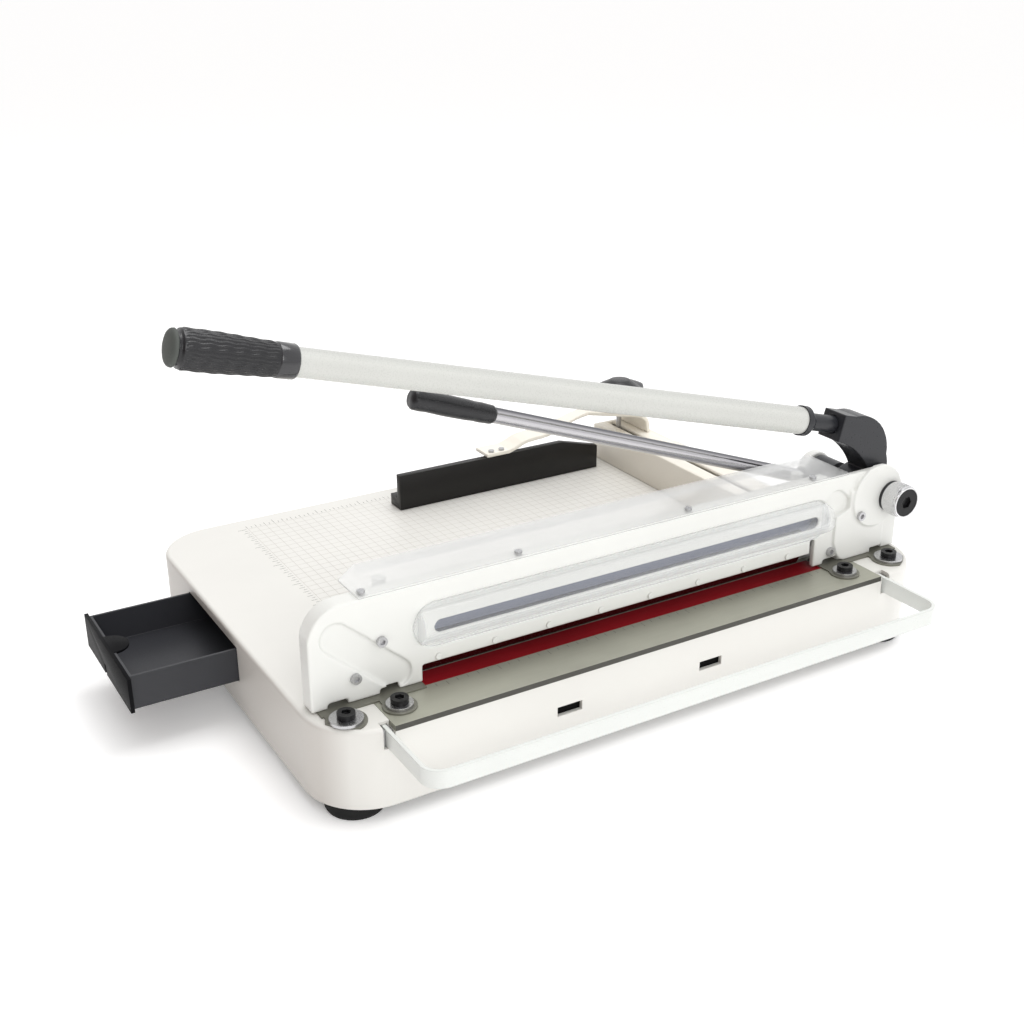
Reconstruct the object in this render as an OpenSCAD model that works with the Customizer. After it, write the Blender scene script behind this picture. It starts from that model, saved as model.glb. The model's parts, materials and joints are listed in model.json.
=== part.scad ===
// Guillotine paper cutter, A3 class, with pull-out drawer, clamp lever and back gauge.
// Millimetres. Z = 0 is the floor, X runs along the blade, Y runs from front to back.

/* [Base] */
// Width of the base, along the blade
base_w = 650; // [560:1:720]
// Depth of the base, front to back
base_d = 456; // [400:1:520]
// Height of the table above the floor
table_z = 85; // [75:1:95]
// Radius of the base's vertical corners
base_r = 56; // [30:1:70]
// Height of the rubber feet
foot_h = 12; // [8:1:18]
// Radius of the rounding around the table's edge
edge_r = 4; // [2:0.5:5]
// Wall thickness of the base shell
wall = 4; // [3:0.5:6]

/* [Cutting opening] */
// Left end of the cutting opening
open_x0 = -218; // [-230:1:-200]
// Right end of the cutting opening
open_x1 = 212; // [200:1:225]
// Height of the opening above the table
open_h = 17; // [12:1:22]

/* [Housing] */
// Width of the front housing
plate_w = 638; // [600:1:646]
// Height of the front housing above the table
plate_h = 91; // [80:1:100]
// Depth of the front housing
plate_t = 18; // [14:1:22]
// Thickness of its front wall
skin = 6; // [4:0.5:8]

/* [Levers] */
// Slope of the cutting lever at rest, degrees above level
lever_slope = 15.1; // [10:0.1:20]
// Slope of the clamp lever at rest
clamp_slope = 19.8; // [12:0.1:24]
// Crank radius of the cutting lever
crank_r = 40; // [36:1:44]
// Crank radius of the clamp lever
clamp_r = 28.4; // [26:0.1:30]
// Lever plane of the cutting lever
lever_y = -155.5; // [-158:0.5:-153]
// Lever plane of the clamp lever
clamp_y = -110; // [-114:0.5:-106]

/* [Drawer] */
// How far the drawer stands out of the base
drawer_out = 96; // [0:1:110]
// Width of the drawer box
drawer_w = 132; // [110:1:150]
// Length of the drawer box
drawer_l = 200; // [160:1:210]

/* [Front bar] */
// How far the front bar stands out of the base
bar_out = 72; // [10:1:80]
// Height of the flat bar
bar_h = 15.5; // [10:0.5:16]
// Thickness of the flat bar
bar_t = 3.5; // [2.5:0.5:4]

/* [Back gauge] */
// Front face of the back gauge
gauge_y = 161; // [60:1:170]
// Length of the back gauge
gauge_l = 256; // [200:1:260]
// Height of the side fence above the table
fence_h = 41; // [30:1:45]

/* [Hidden] */
$fn = 64;
front_y = -base_d / 2;
left_x = -base_w / 2;
plate_y = front_y + 48;
plate_x = 1.5;
back_y = plate_y + plate_t;
carr_y = plate_y + 18.8;
carr_t = 10;
blade_y = plate_y + 12.5;
blade_t = 6;
pivot_x = 287;
pivot_z = table_z + 63;
travel_a = 43;
ux = -cos(travel_a);
uz = sin(travel_a);
nx = -sin(travel_a);
nz = -cos(travel_a);
half = crank_r / 2;
bar_mid = -4.7;
bar_half = 267.7;
bar_z = table_z - 18.5;
bed_x0 = -267.5;
bed_x1 = 257;
bed_y1 = front_y + 72;
bed_t = 5;
lock_x = pivot_x + 17;
lock_z = pivot_z - 3.5;
pad_t = 2.5;
boss_t = 4.5;
fence_x = 204;
fence_w = 46;
drawer_y = 43;
drawer_z = 41;
shift_x = (drawer_out + 3.5) / 2;
shift_y = bar_out / 2;
ink = [0.13, 0.13, 0.13];
cream = [0.93, 0.91, 0.86];
paint = [0.86, 0.87, 0.85];
steel = [0.72, 0.73, 0.74];

// ---- helpers ----

// a box given by its two corners
module box(a, b) {
  translate(a) cube([b[0] - a[0], b[1] - a[1], b[2] - a[2]]);
}

// a profile drawn in X and Z, extruded from y0 towards the back
module xz(y0, t) {
  translate([0, y0 + t, 0]) rotate([90, 0, 0]) linear_extrude(t) children();
}

// a profile drawn in Y and Z, extruded from x0 to the right
module yz(x0, t) {
  translate([x0, 0, 0]) rotate([90, 0, 90]) linear_extrude(t) children();
}

// a round bar along Y
module rod_y(x, z, y0, y1, r) {
  translate([x, y1, z]) rotate([90, 0, 0]) cylinder(r = r, h = y1 - y0);
}

// a hexagonal prism along Y
module hex_y(x, z, y0, y1, r) {
  translate([x, y1, z]) rotate([90, 0, 0]) cylinder(r = r, h = y1 - y0, $fn = 6);
}

// a round or tapered bar between two points of one XZ plane
module link(a, b, y, r0, r1) {
  d = sqrt(pow(b[0] - a[0], 2) + pow(b[1] - a[1], 2));
  translate([a[0], y, a[1]])
    rotate([0, atan2(b[0] - a[0], b[1] - a[1]), 0])
      cylinder(r1 = r0, r2 = r1, h = d);
}

// a rectangle with rounded corners, by its two corners
module rrect(x0, y0, x1, y1, r) {
  translate([x0 + r, y0]) square([x1 - x0 - 2 * r, y1 - y0]);
  translate([x0, y0 + r]) square([x1 - x0, y1 - y0 - 2 * r]);
  for (x = [x0 + r, x1 - r])
    for (y = [y0 + r, y1 - r])
      translate([x, y]) circle(r = r);
}

// a slot shape between two points
module slot2(a, b, r) {
  d = sqrt(pow(b[0] - a[0], 2) + pow(b[1] - a[1], 2));
  translate(a)
    rotate(atan2(b[1] - a[1], b[0] - a[0])) {
      circle(r = r);
      translate([d, 0]) circle(r = r);
      translate([0, -r]) square([d, 2 * r]);
    }
}

// places a drawing whose first axis is the blade's upward travel
module along_travel(c) {
  translate(c) rotate(180 - travel_a) children();
}

// a point given by its distances along and across the travel, from the pivot
function tp(u, n) = [pivot_x + ux * u + nx * n, pivot_z + uz * u + nz * n];

// ---- base ----

module base_shell() {
  color(cream) difference() {
    union() {
      difference() {
        base_skin();
        translate([0, 0, foot_h - 1])
          linear_extrude(table_z - 4 - foot_h + 1)
            rrect(left_x + wall, front_y + wall, -left_x - wall, -front_y - wall,
                  base_r - wall);
      }
      box([bed_x0 - 1, front_y + 2, table_z - bed_t - 3],
          [bed_x1 + 1, bed_y1 + 3, table_z - 3.5]);
      for (x = [-1, 1])
        for (y = [-1, 1])
          translate([x * (base_w / 2 - 35), y * (base_d / 2 - 35), foot_h])
            cylinder(r = 12, h = table_z - foot_h - 2);
    }
    box([bed_x0, front_y - 1, table_z - bed_t], [bed_x1, bed_y1, table_z + 1]);
    for (s = [-1, 1]) {
      x = bar_mid + s * bar_half;
      box([x - 3, front_y - 1, bar_z - 0.5], [x + 3, front_y + 118, table_z - 2.6]);
      box([x - 5, front_y - 1, bar_z - 0.5], [x + 4.9, front_y + 11, table_z + 1]);
    }
    box([left_x - 1, drawer_y - drawer_w / 2 - 1, drawer_z - 1],
        [left_x + wall + 1, drawer_y + drawer_w / 2 + 1, table_z - 10]);
    for (x = [-103, 49])
      box([x - 12.5, front_y - 1, 45], [x + 12.5, front_y + wall + 1, 54]);
    for (x = [-1, 1])
      for (y = [-1, 1])
        translate([x * (base_w / 2 - 35), y * (base_d / 2 - 35), foot_h - 1])
          cylinder(r = 3, h = 36);
    for (p = bolt_xy)
      translate([p[0], p[1], 60]) cylinder(r = 4, h = 30);
    for (p = bracket_xy)
      translate([p[0], p[1], 60]) cylinder(r = 3, h = 30);
    for (x = post_x)
      translate([x, post_y, 60]) cylinder(r = 4, h = 30);
  }
}

// outside of the base, with the rounding around its top edge
module base_skin() {
  translate([0, 0, foot_h])
    linear_extrude(table_z - foot_h - edge_r)
      rrect(left_x, front_y, -left_x, -front_y, base_r);
  translate([0, 0, table_z - edge_r - 1])
    linear_extrude(edge_r + 1)
      rrect(left_x + edge_r, front_y + edge_r, -left_x - edge_r, -front_y - edge_r,
            base_r - edge_r);
  for (s = [-1, 1]) {
    translate([left_x + base_r, s * (base_d / 2 - edge_r), table_z - edge_r])
      rotate([0, 90, 0]) cylinder(r = edge_r, h = base_w - 2 * base_r);
    translate([s * (base_w / 2 - edge_r), -front_y - base_r, table_z - edge_r])
      rotate([90, 0, 0]) cylinder(r = edge_r, h = base_d - 2 * base_r);
    for (t = [-1, 1])
      translate([s * (base_w / 2 - base_r), t * (base_d / 2 - base_r), table_z - edge_r])
        rotate([0, 0, corner_a(s, t)])
          rotate_extrude(angle = 90) translate([base_r - edge_r, 0]) circle(r = edge_r);
  }
}

// direction in which each corner's quarter begins
function corner_a(s, t) = s > 0 ? (t > 0 ? 0 : 270) : (t > 0 ? 90 : 180);

module feet() {
  color(ink)
    for (x = [-1, 1])
      for (y = [-1, 1])
        translate([x * (base_w / 2 - 35), y * (base_d / 2 - 35), 0])
          difference() {
            union() {
              cylinder(r1 = 24.5, r2 = 26, h = 3);
              translate([0, 0, 3]) cylinder(r = 26, h = foot_h - 3);
            }
            translate([0, 0, -1]) cylinder(r = 8, h = 7);
            translate([0, 0, -1]) cylinder(r = 3.2, h = foot_h + 2);
          }
}

module foot_screws() {
  color(steel)
    for (x = [-1, 1])
      for (y = [-1, 1])
        translate([x * (base_w / 2 - 35), y * (base_d / 2 - 35), 0])
          union() {
            translate([0, 0, 2.5]) cylinder(r = 6, h = 3.5);
            translate([0, 0, 5]) cylinder(r = 2.95, h = 35);
          }
}

module bed_plate() {
  color([0.46, 0.45, 0.40]) difference() {
    box([bed_x0 + 0.3, front_y, table_z - bed_t], [bed_x1 - 0.3, bed_y1 - 0.3, table_z]);
    box([open_x0 - 8, front_y + 44, table_z - 3], [open_x1 + 8, front_y + 66, table_z + 1]);
    for (p = bolt_xy)
      translate([p[0], p[1], table_z - 6]) cylinder(r = 4.2, h = 7);
  }
}

module cutting_stick() {
  color([0.55, 0.03, 0.05])
    box([open_x0 - 7.8, front_y + 44.2, table_z - 3], [open_x1 + 7.8, front_y + 65.8, table_z]);
}

// ---- drawer ----

module drawer_box() {
  x0 = left_x - drawer_out;
  color([0.15, 0.15, 0.16]) difference() {
    box([x0, drawer_y - drawer_w / 2, drawer_z + 0.4],
        [x0 + drawer_l, drawer_y + drawer_w / 2, table_z - 11.2]);
    box([x0 + 2.2, drawer_y - drawer_w / 2 + 2.2, drawer_z + 2.6],
        [x0 + drawer_l - 2.2, drawer_y + drawer_w / 2 - 2.2, table_z]);
    box([x0 - 1, drawer_y - 17.2, table_z - 13.1], [x0 + 3, drawer_y + 17.2, table_z]);
  }
}

module drawer_front() {
  x0 = left_x - drawer_out;
  color([0.22, 0.22, 0.23]) {
    difference() {
      box([x0 - 3.5, drawer_y - 71.5, drawer_z], [x0, drawer_y + 71.5, table_z - 10.6]);
      box([x0 - 4, drawer_y + 6, drawer_z - 1], [x0 + 1, drawer_y + 11, drawer_z + 10]);
    }
    translate([x0 - 1, drawer_y, table_z - 12.9])
      linear_extrude(2.3)
        difference() {
          union() {
            translate([0, -17]) square([4, 34]);
            translate([2, 0]) circle(r = 17);
          }
          translate([-40, -40]) square([40, 80]);
        }
  }
}

module drawer_runners() {
  color(steel)
    for (s = [-1, 1]) {
      y = drawer_y + s * (drawer_w / 2 + 0.7);
      box([left_x + wall + 2, min(y, y + s * 2), drawer_z - 2.2],
          [left_x + 215, max(y, y + s * 2), table_z - 4]);
      box([left_x + wall + 2, min(y + s * 2, y - s * 13), drawer_z - 2.2],
          [left_x + 215, max(y + s * 2, y - s * 13), drawer_z - 0.2]);
      box([left_x + wall + 2, min(y, y + s * 13), table_z - 6],
          [left_x + 215, max(y, y + s * 13), table_z - 4]);
    }
}

// ---- front bar ----

module front_bar() {
  x0 = bar_mid - bar_half - bar_t / 2;
  x1 = bar_mid + bar_half + bar_t / 2;
  color([0.90, 0.90, 0.87])
    translate([0, 0, bar_z])
      linear_extrude(bar_h)
        difference() {
          union() {
            rrect(x0, front_y - bar_out, x1, front_y, 18);
            translate([x0, front_y - 20]) square([x1 - x0, 64]);
          }
          union() {
            rrect(x0 + bar_t, front_y - bar_out + bar_t, x1 - bar_t, front_y, 18 - bar_t);
            translate([x0 + bar_t, front_y - 20]) square([x1 - x0 - 2 * bar_t, 65]);
          }
        }
}

module front_bar_guides() {
  color(steel)
    for (s = [-1, 1]) {
      x = bar_mid + s * bar_half;
      difference() {
        box([x - 3.6, front_y + wall, bar_z - 2.5], [x + 3.6, front_y + 117, table_z - 4]);
        box([x - 2.1, front_y, bar_z - 0.4], [x + 2.1, front_y + 115, table_z]);
      }
    }
}

// ---- housing ----

// outline of the housing's front
module plate_outline() {
  x0 = plate_x - plate_w / 2;
  x1 = plate_x + plate_w / 2;
  top = table_z + plate_h;
  difference() {
    union() {
      translate([x0, table_z + 1.5]) square([plate_w, plate_h - 34]);
      translate([x0 + 30, table_z + 20]) square([plate_w - 56, plate_h - 20]);
      translate([x0 + 30, top - 30]) circle(r = 30);
      translate([x1 - 26, top - 26]) circle(r = 26);
      translate([x1 - 26, table_z + 40]) square([26, plate_h - 66]);
    }
    translate([open_x0, table_z]) square([open_x1 - open_x0, open_h]);
    translate([open_x1 - 6, table_z]) square([6, open_h + 14]);
  }
}

module front_plate() {
  x0 = plate_x - plate_w / 2;
  x1 = plate_x + plate_w / 2;
  top = table_z + plate_h;
  color(paint) difference() {
    union() {
      xz(plate_y, plate_t) plate_outline();
      rod_y(pivot_x, pivot_z, plate_y - boss_t, plate_y + 1, 32);
      xz(plate_y - pad_t, pad_t + 1) pad_outline();
    }
    // hollow behind the window and the opening
    box([open_x0 - 28, plate_y + skin, table_z], [open_x1 + 20, back_y + 1, top - 6]);
    // pockets of the two slanted guides
    xz(plate_y + skin, plate_t) intersection() {
      along_travel(guide_l) translate([-34, -25]) square([70, 50]);
      translate([x0 + 3, table_z + 4]) square([200, plate_h - 10]);
    }
    xz(plate_y + skin, plate_t) intersection() {
      along_travel(guide_r) translate([-50, -29]) square([92, 58]);
      translate([100, table_z + 4]) square([x1 - 104, plate_h - 7]);
    }
    // room for the lever's hub and its swing over the right end
    xz(plate_y + skin, plate_t) {
      translate([pivot_x, pivot_z]) circle(r = 40);
      translate([pivot_x - 58, pivot_z - 2]) square([100, 60]);
      translate([pivot_x - 58, pivot_z - 30]) square([58, 60]);
    }
    // window recess and the view slot behind it
    xz(plate_y - 1, 4) slot2([-204.5, table_z + 52], [207.5, table_z + 52], 20.5);
    xz(plate_y - 1, skin + 2) slot2([-198, table_z + 47], [212, table_z + 47], 6);
    // one slanted relief at each end
    xz(plate_y - 1, 4.2) slot2([-293.4, table_z + 62], [-241.5, table_z + 16], 13.5);
    difference() {
      xz(plate_y - 1, 4.2) slot2([236, table_z + 63.5], [285.3, table_z + 18], 13.5);
      rod_y(pivot_x, pivot_z, plate_y - boss_t, plate_y + 5, 32);
      xz(plate_y - pad_t, 9) pad_outline();
    }
    // notches over the bolts
    for (p = bolt_xy)
      box([p[0] - 6, plate_y - boss_t, table_z], [p[0] + 12, back_y + 1, table_z + 6]);
    for (p = screw_xz)
      rod_y(p[0], p[1], plate_y - boss_t - 1, plate_y + skin + 1, 2.55);
    for (i = [0:7])
      rod_y(-203 + 54.3 * i, table_z + 21.5, plate_y - 1, plate_y + skin + 1, 1.6);
    rod_y(pivot_x, pivot_z, plate_y - 1, plate_y + skin + 1, 8.02);
    rod_y(lock_x, lock_z, plate_y - boss_t - 1, plate_y + skin + 1, 7.02);
    for (x = guard_x)
      translate([x, plate_y + 9, top - 10]) cylinder(r = 1.6, h = 11);
  }
}

// raised cover over the lower end of the right relief
module pad_outline() {
  translate([0, table_z])
    polygon([
      [235, 50],
      [235, 22],
      [239.5, 10],
      [244, 3.5],
      [250, 1.5],
      [291, 1.5],
      [297.5, 3.5],
      [301, 9],
      [301, 74],
      [252, 74],
      [252, 56],
      [248, 54]
    ]);
}

module plate_feet() {
  color([0.42, 0.41, 0.36])
    for (s = [0, 1])
      translate([0, 0, table_z])
        linear_extrude(1.5)
          difference() {
            intersection() {
              union() {
                translate([foot_x[s], plate_y - 8.5]) square([94, 26]);
                for (i = [2 * s, 2 * s + 1])
                  bolt_ear(bolt_xy[i], i == 0 || i == 3 ? 17 : 14.5);
              }
              rrect(left_x + edge_r, front_y + edge_r, -left_x - edge_r, -front_y - edge_r,
                    base_r - edge_r);
            }
            for (i = [2 * s, 2 * s + 1])
              translate(bolt_xy[i]) circle(r = 4.2);
          }
}

// round ear of a foot plate; the two outer ones are larger
module bolt_ear(p, r) {
  translate(p) circle(r = r);
  translate([p[0] - r * 0.8, p[1]]) square([r * 1.6, plate_y - p[1]]);
}

module hold_down_bolts() {
  color([0.09, 0.09, 0.09])
    for (p = bolt_xy)
      translate([p[0], p[1], table_z])
        difference() {
          union() {
            translate([0, 0, 4]) cylinder(r = 7.6, h = 5);
            translate([0, 0, -22]) cylinder(r = 3.95, h = 27);
          }
          translate([0, 0, 6]) cylinder(r = 4.2, h = 4, $fn = 6);
        }
}

module hold_down_washers() {
  color(steel)
    for (i = [0:3])
      translate([bolt_xy[i][0], bolt_xy[i][1], table_z + 1.5])
        difference() {
          cylinder(r = i == 0 || i == 3 ? 14 : 11.5, h = 2.5);
          translate([0, 0, -1]) cylinder(r = 4.2, h = 5);
        }
}

module window() {
  z = table_z + 52;
  color([0.80, 0.88, 0.92, 0.45])
    difference() {
      intersection() {
        union() {
          xz(plate_y - 0.2, 3) slot2([-204.5, z], [207.5, z], 20.2);
          translate([-221.5, plate_y + 5, z]) rotate([0, 90, 0]) cylinder(r = 17, h = 446);
        }
        xz(plate_y - 14, 16.8) slot2([-204.5, z], [207.5, z], 20.2);
      }
      translate([-218, plate_y + 5.5, z]) rotate([0, 90, 0]) cylinder(r = 14.6, h = 439);
    }
}

module window_screws() {
  color(steel)
    for (i = [0:7])
      union() {
        rod_y(-203 + 54.3 * i, table_z + 21.5, plate_y - 1.6, plate_y, 3);
        rod_y(-203 + 54.3 * i, table_z + 21.5, plate_y - 0.5, plate_y + 5.8, 1.55);
      }
}

module housing_screws() {
  color([0.35, 0.35, 0.36])
    for (i = [0:3]) {
      p = screw_xz[i];
      f = i == 3 ? boss_t : 0;
      difference() {
        union() {
          rod_y(p[0], p[1], plate_y - 3 - f, plate_y - f, 4.6);
          rod_y(p[0], p[1], plate_y - 1 - f, plate_y + 15, 2.5);
        }
        hex_y(p[0], p[1], plate_y - 4 - f, plate_y - 1.2 - f, 2.6);
      }
    }
}

// hardened strips that hold the slide blocks
module slide_rails() {
  color(steel) {
    rail_pair(guide_l, -18, 34, -8, -22, 34, 24.5, 24.5, [0, 1]);
    rail_pair(guide_r, -36, 41, -36, -18, 14, 26.5, 28, [3, 2]);
  }
}

// one upper and one lower strip, each with a lip over the block's head
module rail_pair(c, u0, u1, w0, v0, v1, wa, wb, scr) {
  y0 = plate_y + skin + 0.1;
  difference() {
    union() {
      xz(y0, 11.8) along_travel(c) translate([w0, -wa]) square([u1 - w0, wa - 16]);
      xz(y0, 6) along_travel(c) translate([u0, -17]) square([u1 - u0, 4.7]);
      xz(y0 + 5.9, 5.9) along_travel(c) translate([u0, -17]) square([u1 - u0, 8.7]);
    }
    rod_y(screw_xz[scr[0]][0], screw_xz[scr[0]][1], plate_y, back_y + 1, 2.55);
  }
  difference() {
    union() {
      xz(y0, 6) along_travel(c) translate([v0, 12.3]) square([v1 - v0, wb - 12.3]);
      xz(y0 + 5.9, 5.9) along_travel(c) translate([v0, 8.3]) square([v1 - v0, wb - 8.3]);
    }
    rod_y(screw_xz[scr[1]][0], screw_xz[scr[1]][1], plate_y, back_y + 1, 2.55);
  }
}

module slide_blocks() {
  color([0.72, 0.58, 0.30])
    for (c = [guide_l, guide_r])
      union() {
        xz(plate_y + skin + 0.4, 5.3) along_travel(c)
          translate([-half - 10, -12]) square([20, 24]);
        xz(plate_y + skin + 5, carr_y - plate_y - skin - 5) along_travel(c)
          translate([-half - 10, -8]) square([20, 16]);
      }
}

// ---- blade ----

module blade_carrier() {
  s = [-ux * half, -uz * half];
  color([0.36, 0.40, 0.47])
    difference() {
      xz(carr_y, carr_t)
        difference() {
          union() {
            translate([-236, table_z + 15]) square([446, 36]);
            slot2(guide_l + s, [-212, table_z + 26], 11);
            intersection() {
              along_travel([pivot_x, pivot_z])
                translate([-36, 25]) square([78, 36]);
              translate([150, table_z + 3]) square([160, 60]);
            }
            translate([196, table_z + 15]) square([30, 36]);
          }
          slot2(tp(-half, -10), tp(-half, crank_r + 0.8), 7.6);
          along_travel([pivot_x, pivot_z])
            translate([-60, -40]) square([140, 64.5]);
        }
      for (x = [-186 : 93 : 186])
        rod_y(x, table_z + 28, carr_y - 1, carr_y + carr_t + 1, 3);
    }
}

module blade() {
  z0 = table_z + 0.3;
  color([0.80, 0.81, 0.82])
    difference() {
      yz(open_x0 + 6, 419)
        polygon([
          [blade_y + blade_t, z0],
          [blade_y + blade_t, z0 + 36],
          [blade_y, z0 + 36],
          [blade_y, z0 + 12]
        ]);
      for (x = [-186 : 93 : 186]) {
        rod_y(x, table_z + 28, blade_y - 1, blade_y + blade_t + 1, 3);
        rod_y(x, table_z + 28, blade_y - 1, blade_y + 3.2, 5.4);
      }
    }
}

module blade_bolts() {
  color([0.20, 0.20, 0.21])
    for (x = [-186 : 93 : 186])
      difference() {
        union() {
          rod_y(x, table_z + 28, blade_y + 0.2, blade_y + 3.2, 5.3);
          rod_y(x, table_z + 28, blade_y + 3, carr_y + carr_t - 0.5, 2.95);
        }
        hex_y(x, table_z + 28, blade_y - 1, blade_y + 2, 3);
      }
}

// ---- cutting lever ----

module pivot_shaft() {
  color(steel) rod_y(pivot_x, pivot_z, plate_y + 0.5, front_y + 141, 8);
}

module shaft_spacers() {
  color(steel) {
    difference() {
      rod_y(pivot_x, pivot_z, front_y + 88.3, front_y + 100.7, 11.5);
      rod_y(pivot_x, pivot_z, front_y + 80, front_y + 110, 8.05);
    }
    difference() {
      rod_y(pivot_x, pivot_z, front_y + 128.3, front_y + 130.9, 11.5);
      rod_y(pivot_x, pivot_z, front_y + 120, front_y + 140, 8.05);
    }
  }
}

module lever_elbow() {
  color([0.11, 0.11, 0.12])
    difference() {
      union() {
        xz(lever_y - 15, 29) elbow_outline();
        rod_y(pivot_x, pivot_z, plate_y + 6.5, front_y + 88, 22);
        xz(front_y + 77.3, 10) slot2([pivot_x, pivot_z], pin_xz, 10);
      }
      rod_y(pivot_x, pivot_z, plate_y, front_y + 100, 8.05);
      rod_y(lock_x, lock_z, plate_y, plate_y + 20, 3.8);
      rod_y(pin_xz[0], pin_xz[1], front_y + 70, front_y + 90, 4);
      link(on_lever(230), on_lever(258), lever_y, 8.5, 8.5);
    }
}

// side view of the curved casting between the hub and the tube's neck
module elbow_outline() {
  e = on_lever(243.4);
  difference() {
    union() {
      translate([pivot_x - 31, pivot_z + 18]) circle(r = 54.5);
      translate([pivot_x - 24, pivot_z + 38]) circle(r = 44.5);
      polygon([
        [e[0] - 8, e[1] - 14],
        [e[0] + 2.9, e[1] + 12.7],
        [e[0] + 19.6, e[1] + 8.2],
        [e[0] + 30, e[1] - 26]
      ]);
    }
    translate([pivot_x - 72, pivot_z - 13]) circle(r = 77.7);
    translate(e) rotate(-lever_slope) translate([-90, -90]) square([90, 180]);
    translate([pivot_x - 100, pivot_z - 90]) square([200, 90]);
  }
}

module crank_pin() {
  color(steel) union() {
    rod_y(pin_xz[0], pin_xz[1], front_y + 67, front_y + 77, 7);
    rod_y(pin_xz[0], pin_xz[1], front_y + 76, front_y + 87.3, 3.95);
  }
}

module lever_collar() {
  color([0.10, 0.10, 0.11]) union() {
    link(on_lever(201), on_lever(207), lever_y, 14.5, 14.5);
    link(on_lever(206.9), on_lever(215), lever_y, 13, 8.5);
    link(on_lever(214), on_lever(254), lever_y, 8.45, 8.45);
  }
}

module lever_tube() {
  color([0.90, 0.90, 0.87])
    link(on_lever(-308), on_lever(201), lever_y, 11.4, 13.2);
}

module lever_grip() {
  color([0.08, 0.08, 0.08]) {
    difference() {
      union() {
        link(on_lever(-390.4), on_lever(-385.8), lever_y, 14.6, 15.6);
        link(on_lever(-386), on_lever(-368), lever_y, 15.5, 15.5);
        link(on_lever(-368.2), on_lever(-316), lever_y, 15.4, 13.2);
        link(on_lever(-316.2), on_lever(-304), lever_y, 13.9, 13.9);
        link(on_lever(-304.2), on_lever(-301.8), lever_y, 13.8, 12.6);
      }
      link(on_lever(-308), on_lever(-290), lever_y, 11.4, 11.48);
    }
  }
}

module grip_cap() {
  color([0.06, 0.06, 0.06]) union() {
    link(on_lever(-395), on_lever(-390.4), lever_y, 12, 14.6);
    link(on_lever(-396.4), on_lever(-394.9), lever_y, 8, 12);
  }
}

// ---- lock ----

module lock_bush() {
  color([0.10, 0.10, 0.10])
    difference() {
      union() {
        rod_y(lock_x, lock_z, plate_y - 8, plate_y - boss_t, 15.8);
        rod_y(lock_x, lock_z, plate_y - 5, plate_y + skin, 7);
      }
      rod_y(lock_x, lock_z, plate_y - 9, plate_y + skin + 1, 3.55);
    }
}

module lock_pin() {
  color(steel) rod_y(lock_x, lock_z, plate_y - 21, plate_y + 6.2, 3.5);
}

module lock_knob() {
  color([0.82, 0.82, 0.83])
    difference() {
      union() {
        rod_y(lock_x, lock_z, plate_y - 25.5, plate_y - 8.4, 16.2);
        rod_y(lock_x, lock_z, plate_y - 26.5, plate_y - 25.4, 15.6);
        for (i = [0:35])
          rod_y(lock_x + 16.1 * cos(10 * i), lock_z + 16.1 * sin(10 * i),
                plate_y - 23, plate_y - 11, 0.8);
      }
      rod_y(lock_x, lock_z, plate_y - 28, plate_y - 22, 14.2);
      rod_y(lock_x, lock_z, plate_y - 24, plate_y - 6, 3.5);
    }
}

module lock_cap() {
  color([0.20, 0.20, 0.21])
    difference() {
      rod_y(lock_x, lock_z, plate_y - 26, plate_y - 22, 14.1);
      hex_y(lock_x, lock_z, plate_y - 27, plate_y - 22.6, 6.4);
    }
}

// ---- clamp ----

module clamp_beam() {
  z0 = table_z + 0.5;
  color([0.55, 0.57, 0.58])
    difference() {
      union() {
        box([open_x0 + 1, front_y + 79, z0], [open_x1 - 7, front_y + 99, z0 + 26]);
        box([-251, front_y + 79, z0], [open_x0 + 2, front_y + 99, z0 + 40]);
        box([open_x1 - 8, front_y + 79, z0], [232, front_y + 99, z0 + 40]);
        box([205, front_y + 92, z0 + 10], [232, front_y + 99, z0 + 60]);
        box([230, front_y + 92, z0 + 38], [273, front_y + 99, z0 + 63]);
      }
      for (x = post_x)
        translate([x, post_y, table_z - 1]) cylinder(r = 6.3, h = 70);
      xz(front_y + 90, 12)
        slot2([pivot_x - clamp_r - 2, clamp_pin_z], [pivot_x - clamp_r + 5, clamp_pin_z], 6.5);
    }
}

module clamp_posts() {
  color(steel)
    for (x = post_x)
      translate([x, post_y, 0])
        union() {
          translate([0, 0, table_z]) cylinder(r = 6, h = 86);
          translate([0, 0, table_z - 18]) cylinder(r = 3.95, h = 19);
        }
}

module clamp_hub() {
  color([0.12, 0.12, 0.13])
    difference() {
      union() {
        rod_y(pivot_x, pivot_z, front_y + 101, front_y + 128, 16);
        xz(front_y + 101, 6) slot2([pivot_x, pivot_z], clamp_pin_xz, 9);
        link(clamp_at(-20), clamp_at(12), clamp_y, 10, 10);
      }
      rod_y(pivot_x, pivot_z, front_y + 90, front_y + 140, 8.05);
      rod_y(clamp_pin_xz[0], clamp_pin_xz[1], front_y + 95, front_y + 110, 3);
      link(clamp_at(-4), clamp_at(30), clamp_y, 7, 7);
    }
}

module clamp_pin() {
  color(steel) union() {
    rod_y(clamp_pin_xz[0], clamp_pin_xz[1], front_y + 92.3, front_y + 100.7, 6);
    rod_y(clamp_pin_xz[0], clamp_pin_xz[1], front_y + 100, front_y + 107, 2.95);
  }
}

module clamp_rod() {
  color([0.80, 0.80, 0.82]) link(clamp_at(-4), clamp_at(405), clamp_y, 7, 7);
}

module clamp_grip() {
  color([0.07, 0.07, 0.07])
    difference() {
      union() {
        link(clamp_at(394), clamp_at(397.2), clamp_y, 7.4, 8.4);
        link(clamp_at(397), clamp_at(430.2), clamp_y, 8.3, 9.7);
        link(clamp_at(430), clamp_at(472.2), clamp_y, 9.6, 9.3);
        link(clamp_at(472), clamp_at(476), clamp_y, 9.2, 7.4);
      }
      link(clamp_at(390), clamp_at(405), clamp_y, 7, 7);
    }
}

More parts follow.
